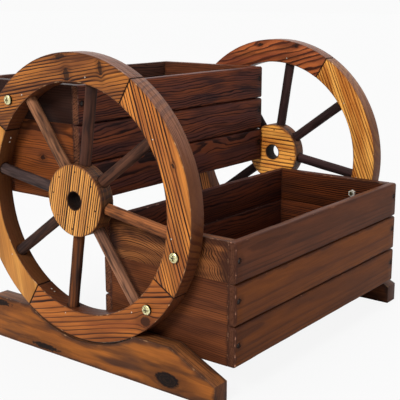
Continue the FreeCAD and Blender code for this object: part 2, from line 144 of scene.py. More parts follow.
grainPorts = {
    "Place": (0.0, 0.0, 0.0),     # mm along the grain, across it and into the face
    "Axis": (1.0, 0.0, 0.0),      # direction of the grain
    "Face": (1.0, 0.0, 0.0),      # direction of the sawn face
    "Sided": 0.0,                 # how far the other sides take their own colours
    "Pith": (90.0, -30.0, 0.0),   # mm across and into the face, and its lean
    "Dive": 0.0,                  # how it runs into the face, for arched figure
    "Ring": 4.5,                  # mm between rings
    "Wander": 3.0,                # how far the rings wave
    "Line": 0.8,                  # how dark the late wood is
    "Width": 0.32,                # and its share of a ring
    "Seed": 0.0,
    "Patches": 0.35,
    "Blotch": 1.0,                # size of the patches
    "Calm": 0.5,                  # how far lines fade here and there
    "Still": -999.0,              # mm across, short of which no line shows
    "Fibre": 0.5,
    "Edge": 99.0,                 # mm to the nearest edge
    "Burn": 0.6,                  # how dark the flame left the edges
    "Scorch": 5.0,                # and how far in, mm
    "Wear": 0.5,                  # pale chips along them, over a faint pale line that is painted highlight
    "Reach": 1.2,                 # and how far in, mm
    "Crack": 99.0,                # mm to a joint or a socket, where shade is painted
    "Bend": 1.0,                  # how far the lines flow round knots
    "Char": 0.85,                 # how dark the knots are
    "Gloss": 0.45,
    "Sheen": 0.0,                 # polish on the upward sides
    "InnerShade": 0.0,                 # sides kept as dark as the undersides: painted shade
    "Relief": 0.5,
    "Knot 1": (0.0, 0.0, 0.01), "Stretch 1": 1.4,
    "Knot 2": (0.0, 0.0, 0.01), "Stretch 2": 1.4,
    "Knot 3": (0.0, 0.0, 0.01), "Stretch 3": 1.4,
    "Pale": (0.5, 0.3, 0.1, 1.0),     # early wood
    "Rich": (0.4, 0.2, 0.1, 1.0),
    "Dark": (0.1, 0.05, 0.02, 1.0),   # late wood
    "Stain": (0.1, 0.05, 0.02, 1.0),
    "Side": (0.1, 0.05, 0.02, 1.0),   # the other sides, where they face up: their colour, made lighter as painted top light
    "UnderShade": (0.1, 0.05, 0.02, 1.0),  # and where they face down, darker as painted shade
    "End": (0.1, 0.06, 0.04, 1.0),    # cut across the grain
    "Worn": (0.6, 0.4, 0.3, 1.0),
}

fields = {   # noise: mm along the grain and across it, detail, and its own place
    "ragged": (5.0, 2.6, 2.0, 0.0),
    "wave": (170.0, 42.0, 1.0, 0.0),
    "ripple": (34.0, 9.0, 1.0, 0.0),
    "fibre": (26.0, 0.7, 2.0, 3.1),
    "thread": (45.0, 1.9, 2.0, 61.0),
    "broken": (60.0, 2.6, 2.0, 5.7),
    "calm": (140.0, 15.0, 1.0, 44.0),
    "tone": (130.0, 18.0, 2.0, 9.2),
    "patch": (90.0, 13.0, 3.0, 12.4),
    "mottle": (4.5, 3.0, 3.0, 17.0),
    "smoke": (34.0, 12.0, 3.0, 21.0),
    "rub": (9.0, 7.0, 3.0, 27.0),
}

figure = {   # a pair is where a change starts and is complete, or the least and the most
    "seedStep": 17.3,
    "knotPull": 0.96, "knotRagged": 5.5, "knotRings": 3.3, "knotEdge": (0.75, 1.0), "knotHalo": (0.9, 2.8),
    "haloShare": 0.5, "charRing": (0.45, 0.95), "char": "110b0a", "charPale": "241812",
    "charGrit": (0.75, 1.25),
    "wave": 2.4, "ripple": 0.5, "driftPace": 0.23, "drift": 1.4,
    "lineWidths": (0.55, 1.45), "lineStart": 1.45, "lineFull": 0.7, "lineEnd": (0.94, 1.0),
    "lineDepths": (0.85, 1.1), "broken": (0.28, 0.55), "brokenDepths": (0.8, 1.05), "calm": (0.5, 0.72),
    "still": (-5.0, 6.0), "tone": (0.34, 0.66), "toneShare": 0.7, "fibre": 0.8, "thread": 0.9,
    "patch": (0.45, 0.7), "grit": 0.9,
    "aside": (0.3, 0.85), "upward": (0.22, 0.68), "streakLong": 70.0, "streakWide": 45.0, "streakThick": 1.2,
    "streak": (0.44, 0.58), "streakShare": 0.85, "sideLine": 0.2, "sideMottle": (0.5, 0.72),
    "sideMottleShare": 0.3,
    "cut": (0.45, 0.92), "cutShare": 0.85, "endLine": 0.4, "endMottle": (0.42, 0.7), "endMottleShare": 0.6,
    "smoke": 2.2, "rub": 3.0, "rubMiddle": 0.6, "chipEdge": (0.4, 1.1), "chip": (0.58, 0.7),
    "chipAndHighlightDepths": (0.15, 1.0),
    "gapGrit": 1.6, "gap": (0.3, 2.2), "gapShare": 0.92, "gapShadeColor": "120b09", "coatStreak": 0.6,
    "rough": {"fibre": 0.18, "cut": 0.12, "core": 0.1, "gap": 0.2, "line": -0.05},
    "height": {"line": 0.5, "fibre": 0.35, "core": -0.4, "grit": 0.15, "gap": -0.6, "chipsAndHighlight": -0.5},
    "bump": 0.0007,   # metres
}


def greatest(parts):
    found = parts[0]
    for part in parts[1:]:
        found = found.most(part)
    return found


def makeGrain():
    tree = bpy.data.node_groups.new("woodGrain", "ShaderNodeTree")
    for name, start in grainPorts.items():
        kind = {3: "Vector", 4: "Color"}[len(start)] if isinstance(start, tuple) else "Float"
        tree.interface.new_socket(name=name, in_out="INPUT", socket_type="NodeSocket" + kind)
    for name, kind in (("Color", "Color"), ("Roughness", "Float"), ("Coat", "Float"), ("Normal", "Vector")):
        tree.interface.new_socket(name=name, in_out="OUTPUT", socket_type="NodeSocket" + kind)
    entry = tree.nodes.new("NodeGroupInput")
    port = {name: Wire(tree, entry.outputs[name]) for name in grainPorts}
    start = Wire(tree)
    along, across, depth = port["Place"].split()
    shift = port["Seed"] * figure["seedStep"]

    def field(name, size=1.0, offset=0.0):
        long, wide, detail, home = fields[name]
        long, wide = long * size, wide * size
        at = start.node("CombineXYZ", None, {
            0: along / long + shift, 1: across / wide + (home + offset), 2: depth / wide - shift})
        return clouds(at, detail)

    def swing(name, offset=0.0):
        return field(name, offset=offset) - 0.5

    # Knots pull the lines round them.
    bent, insides, eyes, halos = across, [], [], []
    for number in (1, 2, 3):
        atAlong, atAcross, size = port[f"Knot {number}"].split()
        away = (along - atAlong) / port[f"Stretch {number}"]
        aside = across - atAcross
        square = away * away + aside * aside
        bent = bent - aside * (size * size / (square + 0.01)).least(figure["knotPull"]) * port["Bend"]
        reach = (square.root() + swing("ragged", number) * figure["knotRagged"]) / size
        inside = 1 - reach.rise(*figure["knotEdge"])
        rings = reach * figure["knotRings"]
        insides.append(inside)
        eyes.append(rings.math("FRACT", rings) * inside)
        halos.append(1 - reach.rise(*figure["knotHalo"]))
    core, eye, halo = greatest(insides), greatest(eyes), greatest(halos)

    # Rings round the pith line, each of its own width.
    pithAcross, pithDepth, lean = port["Pith"].split()
    du = bent - pithAcross - lean * along
    dv = depth - pithDepth - port["Dive"] * along
    distance = (du * du + dv * dv).root()
    wave = swing("wave") * port["Wander"] * figure["wave"]
    wave = wave + swing("ripple") * port["Wander"] * figure["ripple"]
    phase = (distance + wave) / port["Ring"]
    drift = start.node("CombineXYZ", None, {0: phase * figure["driftPace"] + shift, 1: 0.0, 2: 0.0})
    phase = phase + clouds(drift) * figure["drift"]
    ring = phase.math("FLOOR", phase)
    turn = phase - ring
    chance = start.node("TexWhiteNoise", {"noise_dimensions": "1D"}, {"W": ring + shift})
    wide = port["Width"] * chance.spread(*figure["lineWidths"])
    late = turn.rise(1 - wide * figure["lineStart"], 1 - wide * figure["lineFull"])
    late = late * (1 - turn.rise(*figure["lineEnd"]))
    calm = 1 - field("calm").rise(*figure["calm"]) * port["Calm"]
    calm = calm * (across - port["Still"]).rise(*figure["still"])
    broken = field("broken").rise(*figure["broken"]).spread(*figure["brokenDepths"])
    line = (late * port["Line"] * chance.spread(*figure["lineDepths"]) * broken * calm).least(1.0)

    # The sawn face
    tone = field("tone").rise(*figure["tone"]) * figure["toneShare"] + turn * (1 - figure["toneShare"])
    color = port["Pale"].blend(port["Rich"], tone).blend(port["Dark"], line)
    fibre = swing("fibre")
    soft = (fibre * figure["fibre"] + swing("thread") * figure["thread"]) * port["Fibre"] + 1
    bright = start.node("CombineXYZ", None, {0: soft, 1: soft, 2: soft})
    color = color.blend(bright, 1.0, "MULTIPLY")
    patches = field("patch", port["Blotch"]).rise(*figure["patch"]) * port["Patches"]
    color = color.blend(port["Stain"], patches)
    color = color.blend(port["Dark"], halo * port["Char"] * figure["haloShare"])
    scaled = start.node("VectorMath", {"operation": "SCALE"}, {0: port["Place"], "Scale": figure["grit"]})
    grit = clouds(scaled, 2.0)
    char = eye.rise(*figure["charRing"]).between(tint(figure["char"]), tint(figure["charPale"]))
    color = color.blend(char, core * port["Char"] * grit.spread(*figure["charGrit"]))

    # The other sides, and the ends
    facing = start.node("TexCoord", None, None, 1)

    def towards(axis):
        return start.node("VectorMath", {"operation": "DOT_PRODUCT"}, {0: facing, 1: axis}, 1).absolute()

    onSide = 1 - towards(port["Face"]).rise(*figure["aside"])
    flow = start.node("CombineXYZ", None, {
        0: along / figure["streakLong"] + shift, 1: across / figure["streakWide"],
        2: depth / figure["streakThick"]})
    streak = clouds(flow, 3.0).rise(*figure["streak"])
    mottle = field("mottle")
    # Painted light: sides that face up take the lighter Side colour; sides that face down, the rim's inner
    # sides and the bore take the darker UnderShade colour as painted shade.
    up = facing.split()[2].rise(*figure["upward"]) * (1 - port["InnerShade"])
    side = port["UnderShade"].blend(port["Side"], up)
    side = side.blend(port["Stain"], streak * figure["streakShare"])
    side = side.blend(port["Dark"], line * figure["sideLine"])
    side = side.blend(port["Dark"], mottle.rise(*figure["sideMottle"]) * figure["sideMottleShare"])
    color = color.blend(side, onSide * port["Sided"])
    cut = towards(port["Axis"]).rise(*figure["cut"]) * (1 - port["Sided"])
    mottled = mottle.rise(*figure["endMottle"]) * figure["endMottleShare"]
    end = port["End"].blend(port["Dark"], (late * figure["endLine"] + mottled).least(1.0))
    color = color.blend(end, cut * figure["cutShare"])

    # Burnt and chipped edges with a faint painted highlight along them, and painted shade in the joints,
    # round the sockets and at the bore's edge, with soot in the joints
    scorched = (port["Edge"] / port["Scorch"] + swing("smoke") * figure["smoke"]).rise(0.0, 1.0)
    color = color.blend(port["Stain"], (1 - scorched) * port["Burn"])
    # Pale chips along the edges, over a faint pale line along every edge that is painted highlight.
    rub = field("rub")
    kept = port["Edge"] / port["Reach"] - (rub - figure["rubMiddle"]) * figure["rub"]
    chipsAndHighlight = (1 - kept.rise(*figure["chipEdge"])) * rub.rise(*figure["chip"]).spread(*figure["chipAndHighlightDepths"])
    chipsAndHighlight = chipsAndHighlight * port["Wear"]
    color = color.blend(port["Worn"], chipsAndHighlight)
    # Painted shade: the colour darkens near joints, sockets and the bore's edge, with some soot in the
    # joints.
    gap = 1 - (port["Crack"] + (grit - 0.5) * figure["gapGrit"]).rise(*figure["gap"])
    color = color.blend(tint(figure["gapShadeColor"]), gap * figure["gapShare"])

    parts = {"fibre": fibre, "cut": cut, "core": core, "gap": gap, "line": line, "grit": grit, "chipsAndHighlight": chipsAndHighlight}
    rough = sum((parts[name] * share for name, share in figure["rough"].items()), port["Gloss"])
    height = sum(parts[name] * share for name, share in figure["height"].items())
    normal = start.node("Bump", None, {
        "Strength": port["Relief"], "Distance": figure["bump"], "Height": height})
    coat = onSide * (1 - gap) * port["Sheen"] * (1 - streak * figure["coatStreak"]) * up
    leave = tree.nodes.new("NodeGroupOutput")
    for name, result in (("Color", color), ("Roughness", rough), ("Coat", coat), ("Normal", normal)):
        tree.links.new(result.socket, leave.inputs[name])
    return tree


grain = makeGrain()
print("wood grain made")

coatRoughness = 0.42
woods = {
    "rim": {"Pale": "c87d37", "Rich": "8f5028", "Dark": "2b130c", "Side": "774f3d", "UnderShade": "4a2616",
            "Sided": 0.92, "Stain": "4a2818", "End": "5c3a2c", "Worn": "d8ab7c", "Line": 1.1, "Width": 0.34,
            "Ring": 4.6, "Pith": (110, -35, 0.0), "Burn": 0.6, "Scorch": 2.6, "Wear": 0.5, "Reach": 1.0,
            "Fibre": 0.6, "Shine": 0.09, "Sheen": 0.45},
    "hub": {"Pale": "de9d50", "Rich": "bd7c3c", "Dark": "311a10", "Side": "251713", "UnderShade": "180f0e",
            "Sided": 0.95, "Stain": "6a3d22", "End": "4a2f25", "Worn": "d8b488", "Line": 1.2, "Width": 0.42,
            "Ring": 4.1, "Pith": (400, 30, 0.0), "Calm": 0.15, "Burn": 0.75, "Scorch": 2.2, "Wear": 0.4,
            "Reach": 0.9, "Fibre": 0.4, "Wander": 0.9, "Shine": 0.09, "Sheen": 0.1},
    "spoke": {"Pale": "6a4230", "Rich": "4a2f25", "Dark": "1c1110", "Stain": "241a18", "End": "3a2820",
              "Worn": "a07a60", "Line": 0.25, "Ring": 3.4, "Pith": (40, 20, 0.0), "Patches": 0.85,
              "Wear": 0.0, "Blotch": 0.5, "Burn": 0.0, "Fibre": 0.6, "Gloss": 0.6, "Shine": 0.05},
    "lowPlank": {"Pale": "6a3a18", "Rich": "5a3119", "Dark": "331a10", "Stain": "3a2119", "End": "543628",
                 "Worn": "a97a62", "Line": 0.35, "Ring": 2.6, "Width": 0.3, "Pith": (12, -60, 0.0),
                 "Patches": 0.3, "Wander": 0.8, "Burn": 0.8, "Scorch": 5.0, "Wear": 0.8, "Reach": 1.1,
                 "Fibre": 0.55, "Shine": 0.03, "Sheen": 0.3},
    "highPlank": {"Pale": "743d25", "Rich": "4c2d2a", "Dark": "170d0d", "Stain": "2a1a1a", "End": "6d4530",
                  "Worn": "a9806e", "Line": 0.85, "Width": 0.3, "Ring": 3.3, "Pith": (60, -45, 0.02),
                  "Patches": 0.6, "Calm": 0.85, "Burn": 0.6, "Scorch": 3.0, "Wear": 0.45, "Reach": 1.1,
                  "Wander": 7.0, "Shine": 0.03, "Sheen": 0.3},
    "board": {"Pale": "8d4c25", "Rich": "69391f", "Dark": "23110b", "Stain": "2f1a14", "End": "50342a",
              "Worn": "b98c68", "Line": 0.65, "Width": 0.26, "Ring": 2.9, "Pith": (50, -40, 0.02),
              "Patches": 0.4, "Burn": 0.6, "Scorch": 4.0, "Wear": 0.3, "Reach": 0.9, "Wander": 4.0,
              "Shine": 0.05, "Sheen": 0.2},
    "floor": {"Pale": "56321c", "Rich": "472818", "Dark": "221209", "Stain": "2a1913", "End": "38251f",
              "Worn": "8c6750", "Line": 0.6, "Ring": 4.8, "Pith": (30, -55, 0.02), "Patches": 0.5,
              "Wear": 0.2, "Shine": 0.04},
    "foot": {"Pale": "985923", "Rich": "7e4820", "Dark": "2a160e", "Side": "84522e", "UnderShade": "4a2d1e",
             "Sided": 0.75, "Stain": "33211b", "End": "4c3022", "Worn": "c2946a", "Line": 0.3, "Ring": 6.0,
             "Pith": (20, -70, 0.0), "Patches": 0.85, "Wander": 5.0, "Blotch": 1.6, "Burn": 0.85,
             "Scorch": 7.0, "Wear": 0.35, "Reach": 1.1, "Shine": 0.08, "Sheen": 0.2},
}


def boxEdge(place, half, offset):
    # The second smallest distance to a box's faces is the way to its nearest edge.
    along, across, depth = place.split()
    parts = (along, across - offset, depth)
    left = [size - part.absolute() for part, size in zip(parts, half)]
    low, high = left[0].least(left[1]), left[0].most(left[1])
    return low.most(high.least(left[2]))


def hoopEdge(at, inner, outer, low, high):
    # The same for a ring about the axle, the way to its joints and sockets, where shade is painted, and its
    # inner side, which is kept in painted shade.
    x, y, z = at.split()
    y, z = y - axle.y, z - axle.z
    radius = (y * y + z * z).root()
    side = (x - low).least(high - x)
    edge = side.most((radius - inner).least(outer - radius)) * mm
    turn = y.math("ARCTAN2", y * -1, z) * (180 / math.pi)

    def beside(first, step):
        off = y.math("FLOORED_MODULO", turn - first + step / 2, step) - step / 2
        return radius * y.math("SINE", off * (math.pi / 180))

    isRim = inner > wheel["hubRadius"]
    aside = beside(wheel["spokeTurn"], wheel["spokeStep"])
    beyond = x - (low + wheel["spokePlane"] + (0 if isRim else wheel["hubProud"]))
    crack = (aside * aside + beyond * beyond).root() * mm - wheel["spokeRadius"] * mm
    if isRim:
        seam = beside(wheel["jointTurn"], wheel["jointStep"]).absolute() * mm
        outside = (radius - inner).rise(*wheel["socketReach"]) * wheel["farOff"]
        crack = (crack + outside).least(seam)
    else:
        crack = crack.least((radius - inner) * mm)
    return edge, crack, 1 - (radius - inner).rise(*wheel["innerShadeReach"])


def woodMaterial(name, kind, centre, along, across, half=None, hoop=None, beam=None, offset=0.0, **changes):
    recipe = dict(woods[kind], **changes)
    knots, shine = recipe.pop("knots", []), recipe.pop("Shine")
    for number, knot in enumerate(knots, 1):
        recipe[f"Knot {number}"] = knot[:3]
        recipe[f"Stretch {number}"] = knot[3]
    material = bpy.data.materials.new(name)
    material.use_nodes = True
    tree = material.node_tree
    shader = tree.nodes["Principled BSDF"]
    start = Wire(tree)
    at = start.node("TexCoord", None, None, 3)
    turn = Matrix((along, across, along.cross(across))).transposed().to_euler()
    place = start.node("Mapping", {"vector_type": "TEXTURE"}, {
        "Vector": at, "Location": centre, "Rotation": turn, "Scale": (1 / mm, 1 / mm, 1 / mm)})
    recipe.update(Place=place, Axis=along, Face=along.cross(across))
    if half:
        recipe["Edge"] = boxEdge(place, half, offset)
    if hoop:
        recipe["Edge"], recipe["Crack"], recipe["InnerShade"] = hoopEdge(at, *hoop)
    if beam:
        recipe["Edge"] = footEdge(place, *beam)
    values = dict(grainPorts)
    for key, value in recipe.items():
        values[key] = tint(value) if isinstance(value, str) else value
    color = start.node("Group", {"node_tree": grain}, values)
    outputs = color.socket.node.outputs
    tree.links.new(outputs["Color"], shader.inputs["Base Color"])
    tree.links.new(outputs["Roughness"], shader.inputs["Roughness"])
    if "Sheen" in recipe:
        tree.links.new(outputs["Coat"], shader.inputs["Coat Weight"])
    tree.links.new(outputs["Normal"], shader.inputs["Normal"])
    shader.inputs["Coat Roughness"].default_value = coatRoughness
    shader.inputs["Specular IOR Level"].default_value = shine
    return material


def dress(piece, material):
    piece.data.materials.clear()
    piece.data.materials.append(material)


def dressNode(name, material):
    for slot in nodes[name].material_slots:
        slot.material = material


# Modelling helpers

creaseLimit = 50   # degrees, from which an edge is eased
touch = 1e-5   # metres, nearer than which two points are one
roughSteps = (3.7, 1.9, 5.3)   # each seed lies this far off in the noise
noise.seed_set(7)   # without it the noise differs from run to run


def clearSelection():
    bpy.ops.object.select_all(action="DESELECT")


def begin(name):
    piece = bpy.context.object
    piece.name = name
    piece.data.name = name
    bpy.ops.object.transform_apply(location=True, rotation=True, scale=True)
    return piece


def modify(piece, kind, **settings):
    bpy.context.view_layer.objects.active = piece
    modifier = piece.modifiers.new("work", kind)
    for name, value in settings.items():
        setattr(modifier, name, value)
    bpy.ops.object.modifier_apply(modifier="work")


def pick(piece, test):
    # Selects the faces that pass a test, in edit mode.
    mesh = bmesh.from_edit_mesh(piece.data)
    bpy.ops.mesh.select_all(action="DESELECT")
    for face in mesh.faces:
        face.select_set(test(face))
    bmesh.update_edit_mesh(piece.data)


def pickEdges(piece, test):
    # The same for edges: their two ends have to pass it.
    mesh = bmesh.from_edit_mesh(piece.data)
    bpy.ops.mesh.select_all(action="DESELECT")
    for edge in mesh.edges:
        edge.select_set(test(edge.verts[0].co, edge.verts[1].co))
    bmesh.update_edit_mesh(piece.data)


def softenEdges(piece, width, segments=2, limit=creaseLimit):
    modify(piece, "BEVEL", width=width, segments=segments, limit_method="ANGLE",
           angle_limit=math.radians(limit))


def subtract(piece, cutters):
    clearSelection()
    for cutter in cutters:
        cutter.select_set(True)
    bpy.context.view_layer.objects.active = cutters[0]
    if len(cutters) > 1:
        bpy.ops.object.join()
    modify(piece, "BOOLEAN", operation="DIFFERENCE", solver="EXACT", object=cutters[0])
    bpy.data.objects.remove(cutters[0])


def placed(pattern, name, turn, origin):
    # A copy with its own mesh, turned about the axle's line and settled in the frame.
    piece = pattern.copy()
    piece.data = pattern.data.copy()
    piece.name = name
    piece.data.name = name
    bpy.context.scene.collection.objects.link(piece)
    piece.data.transform(Matrix.Translation(origin) @ Matrix.Rotation(math.radians(turn), 4, "X"))
    return piece


def roughen(piece, amount, size, seed):
    # Hand work: nothing is quite straight or quite round.
    offset = Vector([seed * step for step in roughSteps])
    least, most = cadBox
    for vertex in piece.data.vertices:
        spot = vertex.co + noise.noise_vector(vertex.co / size + offset) * amount
        vertex.co = [min(max(value, low), high) for value, low, high in zip(spot, least, most)]


def finishPiece(piece, material, *replaced, slot="rim_wood", angle=35):
    clearSelection()
    piece.select_set(True)
    bpy.context.view_layer.objects.active = piece
    bpy.ops.object.shade_smooth_by_angle(angle=math.radians(angle))
    dress(piece, material)
    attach(piece, "root")
    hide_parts(*replaced)


# Wheels

wheel = {   # metres and degrees
    "rimInner": 0.161, "rimOuter": 0.200, "rimThick": 0.0265, "rimEdge": 0.0009, "rimSteps": 30,
    "hubRadius": 0.050, "hubThick": 0.025, "bore": 0.0125, "hubEdge": 0.0012, "hubProud": 0.003,
    "hubSides": 96,
    "spokeRadius": 0.008, "spokeStart": 0.0365, "spokeEnd": 0.1725, "spokePlane": 0.0128, "spokeEdge": 0.0009,
    "spokes": 8, "spokeSides": 28, "spokeCuts": 13,
    "spokeTurn": 8.8, "spokeStep": 45, "jointTurn": 31.3, "jointStep": 90, "jointGap": 0.2,
    "socketClear": 0.0007, "socketSides": 32, "hubSocket": (0.036, 0.058), "rimSocket": (0.148, 0.173),
    "socketReach": (0.008, 0.014), "farOff": 50,    # painted shade round a socket ends here in the rim
    "innerShadeReach": (0.001, 0.003),
    "rimBrads": 0.170, "hubBrads": 0.0405, "bradRadius": 0.0011, "bradSink": 0.0006, "bradSides": 16,
    "hubBradWide": 1.5,
    "rimDrift": (-0.5, 1.2, 0, 0.9, 0.8, 0, -0.5, 0.1),   # degrees a brad stands off its spoke
    "hubDrift": (-4.4, -0.1, 3.7, -0.8, -1.4, 0, 1, -6),
    "felloeWaver": (0.00025, 0.05), "hubWaver": (0.0002, 0.04),   # how far, and over what length
    "spokeWaver": (0.0003, 0.03),
}
hubLow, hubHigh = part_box("wheel_near_hub")
axle = (hubLow + hubHigh) / 2
wheels = {"near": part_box("wheel_near_felloe_1")[0].x, "far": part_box("wheel_far_felloe_1")[0].x}


def outward(turn):
    return Vector((0, -math.sin(math.radians(turn)), math.cos(math.radians(turn))))


def socketCutter(turn, x, start, end):
    middle = (start + end) / 2
    bpy.ops.mesh.primitive_cylinder_add(
        vertices=wheel["socketSides"], radius=wheel["spokeRadius"] + wheel["socketClear"], depth=end - start,
        location=Vector((x, 0, 0)) + outward(turn) * middle, rotation=(math.radians(turn), 0, 0))
    return begin("cutter")


def bradCutter(x, circle, turn, wide=1.0):
    bpy.ops.mesh.primitive_cylinder_add(
        vertices=wheel["bradSides"], radius=wheel["bradRadius"] * wide, depth=wheel["bradSink"] * 2,
        rotation=(0, math.radians(90), 0), location=Vector((x, axle.y, axle.z)) + outward(turn) * circle)
    return begin("cutter")


def makeFelloe():
    inner, outer, thick = wheel["rimInner"], wheel["rimOuter"], wheel["rimThick"]
    middle = (inner + outer) / 2
    clearSelection()
    bpy.ops.mesh.primitive_plane_add(
        size=1, location=(thick / 2, 0, middle), rotation=(math.radians(90), 0, 0))
    felloe = begin("felloePattern")
    bpy.ops.object.mode_set(mode="EDIT")
    bpy.ops.mesh.select_all(action="SELECT")
    bpy.ops.transform.resize(value=(thick, 1, outer - inner), center_override=(thick / 2, 0, middle))
    bpy.ops.mesh.spin(steps=wheel["rimSteps"], angle=math.radians(wheel["jointStep"] - wheel["jointGap"]),
                      center=(0, 0, 0), axis=(-1, 0, 0))
    bpy.ops.mesh.select_all(action="SELECT")
    bpy.ops.mesh.remove_doubles(threshold=touch)
    bpy.ops.mesh.normals_make_consistent(inside=False)
    bpy.ops.object.mode_set(mode="OBJECT")
    softenEdges(felloe, wheel["rimEdge"], 3)
    return felloe


def makeHub():
    thick = wheel["hubThick"]
    clearSelection()
    bpy.ops.mesh.primitive_cylinder_add(
        vertices=wheel["hubSides"], radius=wheel["hubRadius"], depth=thick, location=(thick / 2, 0, 0),
        rotation=(0, math.radians(90), 0))
    hub = begin("hubPattern")
    bpy.ops.object.mode_set(mode="EDIT")
    pick(hub, lambda face: abs(face.normal.x) > 0.9)
    bpy.ops.mesh.inset(thickness=wheel["hubRadius"] - wheel["bore"], use_individual=True)
    bpy.ops.mesh.bridge_edge_loops()
    bpy.ops.mesh.select_all(action="SELECT")
    bpy.ops.mesh.normals_make_consistent(inside=False)
    bpy.ops.object.mode_set(mode="OBJECT")
    softenEdges(hub, wheel["hubEdge"], 3)
    x = wheel["spokePlane"] + wheel["hubProud"]
    subtract(hub, [socketCutter(wheel["spokeTurn"] + wheel["spokeStep"] * number, x, *wheel["hubSocket"])
                   for number in range(wheel["spokes"])])
    return hub


def makeSpoke():
    start, end = wheel["spokeStart"], wheel["spokeEnd"]
    clearSelection()
    bpy.ops.mesh.primitive_cylinder_add(
        vertices=wheel["spokeSides"], radius=wheel["spokeRadius"], depth=end - start,
        location=(0, 0, (start + end) / 2))
    spoke = begin("spokePattern")
    bpy.ops.object.mode_set(mode="EDIT")
    pickEdges(spoke, lambda one, other: abs(one.z - other.z) > (end - start) / 2)
    bpy.ops.mesh.subdivide(number_cuts=wheel["spokeCuts"])
    bpy.ops.object.mode_set(mode="OBJECT")
    softenEdges(spoke, wheel["spokeEdge"])
    return spoke


felloePattern, hubPattern, spokePattern = makeFelloe(), makeHub(), makeSpoke()
print("wheel patterns modelled")

felloes = {   # grain leans this far off the chord; knots stand at degrees round the wheel and mm out
    "near_1": {"lean": -3.5, "Pith": (-195, -40, 0.02), "Ring": 4.9, "Seed": 1.3, "Width": 0.36,
               "Still": -9.0, "Wander": 1.8, "knots": [(68.6, 185, 2.5, 1.4)]},
    "near_2": {"lean": 0.0, "Pith": (120, -60, 0.0), "Ring": 5.6, "Seed": 2.7, "Pale": "ab642b",
               "Rich": "7a4020", "Width": 0.28, "Line": 0.9, "Wander": 3.5, "Char": 0.75,
               "knots": [(140, 191, 8.0, 1.2)]},
    "near_3": {"lean": 4.0, "Pith": (30, -90, 0.05), "Ring": 6.0, "Seed": 3.9, "Line": 0.25,
               "Pale": "c38843", "Rich": "a96d33", "Patches": 0.15},
    "near_4": {"lean": 4.0, "Pith": (-130, -30, 0.0), "Ring": 4.3, "Seed": 4.4, "Patches": 0.75,
               "Width": 0.34, "Pale": "a8672e", "Rich": "744325", "Bend": 0.4, "Char": 0.75, "Wander": 3.0,
               "knots": [(353.5, 195, 4.0, 2.4), (356.7, 170.5, 9.5, 0.6), (15.9, 189, 10.5, 0.36)]},
    "far_1": {"lean": -8.0, "Pith": (-180, -40, 0.03), "Ring": 4.8, "Seed": 5.6, "Pale": "fab659",
              "Rich": "a4561b", "Line": 0.75, "Width": 0.34, "Patches": 0.1, "Dark": "5e2c10", "Wander": 1.8},
    "far_2": {"lean": 2.0, "Pith": (90, -30, 0.0), "Ring": 5.4, "Seed": 6.2, "Patches": 0.4},
    "far_3": {"lean": 0.0, "Pith": (-70, 50, 0.02), "Ring": 5.0, "Seed": 7.8, "Patches": 0.4},
    "far_4": {"lean": 2.0, "Pith": (90, -60, 0.04), "Ring": 6.2, "Seed": 8.1, "Pale": "b96534",
              "Rich": "753a2a", "Dark": "24100e", "Patches": 0.6, "Width": 0.32, "Line": 0.8, "Wander": 9.0,
              "knots": [(350.5, 193, 2.6, 2.0), (13, 195, 2.6, 2.0)]},
}


def buildFelloes():
    reach = (wheel["rimInner"] + wheel["rimOuter"]) / 2
    for name, finish in felloes.items():
        finish = dict(finish)
        side, number = name.split("_")
        turn = wheel["jointTurn"] + wheel["jointStep"] * (int(number) - 1)
        x = wheels[side]
        origin = Vector((x, axle.y, axle.z))
        piece = placed(felloePattern, f"felloe_{name}", turn + wheel["jointGap"] / 2, origin)
        roughen(piece, *wheel["felloeWaver"], finish["Seed"])
        middle = turn + wheel["jointStep"] / 2
        along = -(Matrix.Rotation(math.radians(finish.pop("lean")), 3, "X") @ outward(middle + 90))
        across = along.cross(Vector((1, 0, 0)))
        centre = origin + outward(middle) * reach + Vector((wheel["rimThick"] / 2, 0, 0))
        knots = []
        for angle, radius, size, stretch in finish.pop("knots", []):
            spot = Vector((0, axle.y, axle.z)) + outward(angle) * radius / mm - centre
            knots.append((spot.dot(along) * mm, spot.dot(across) * mm, size, stretch))
        hoop = (wheel["rimInner"], wheel["rimOuter"], x, x + wheel["rimThick"])
        material = woodMaterial(f"rim_{name}", "rim", centre, along, across, hoop=hoop, knots=knots, **finish)
        cutters = []
        for angle in (turn + wheel["spokeStep"] / 2, turn + wheel["spokeStep"] * 3 / 2):
            cutter = socketCutter(angle, 0, *wheel["rimSocket"])
            cutter.data.transform(Matrix.Translation(origin + Vector((wheel["spokePlane"], 0, 0))))
            spoke = round((angle - wheel["spokeTurn"]) / wheel["spokeStep"]) % wheel["spokes"]
            cutters += [cutter, bradCutter(x, wheel["rimBrads"], angle + wheel["rimDrift"][spoke])]
        subtract(piece, cutters)
        finishPiece(piece, material, f"wheel_{side}_felloe_{number}")


hubs = {
    "near": {"lean": 12.0, "Seed": 11.0},
    "far": {"lean": 92.0, "Seed": 12.5, "Ring": 6.6, "Pale": "f8ae50", "Rich": "b86424", "Dark": "3a1c10",
            "Width": 0.28, "Line": 0.85, "Wander": 2.0, "Burn": 0.9, "Scorch": 4.0},
}


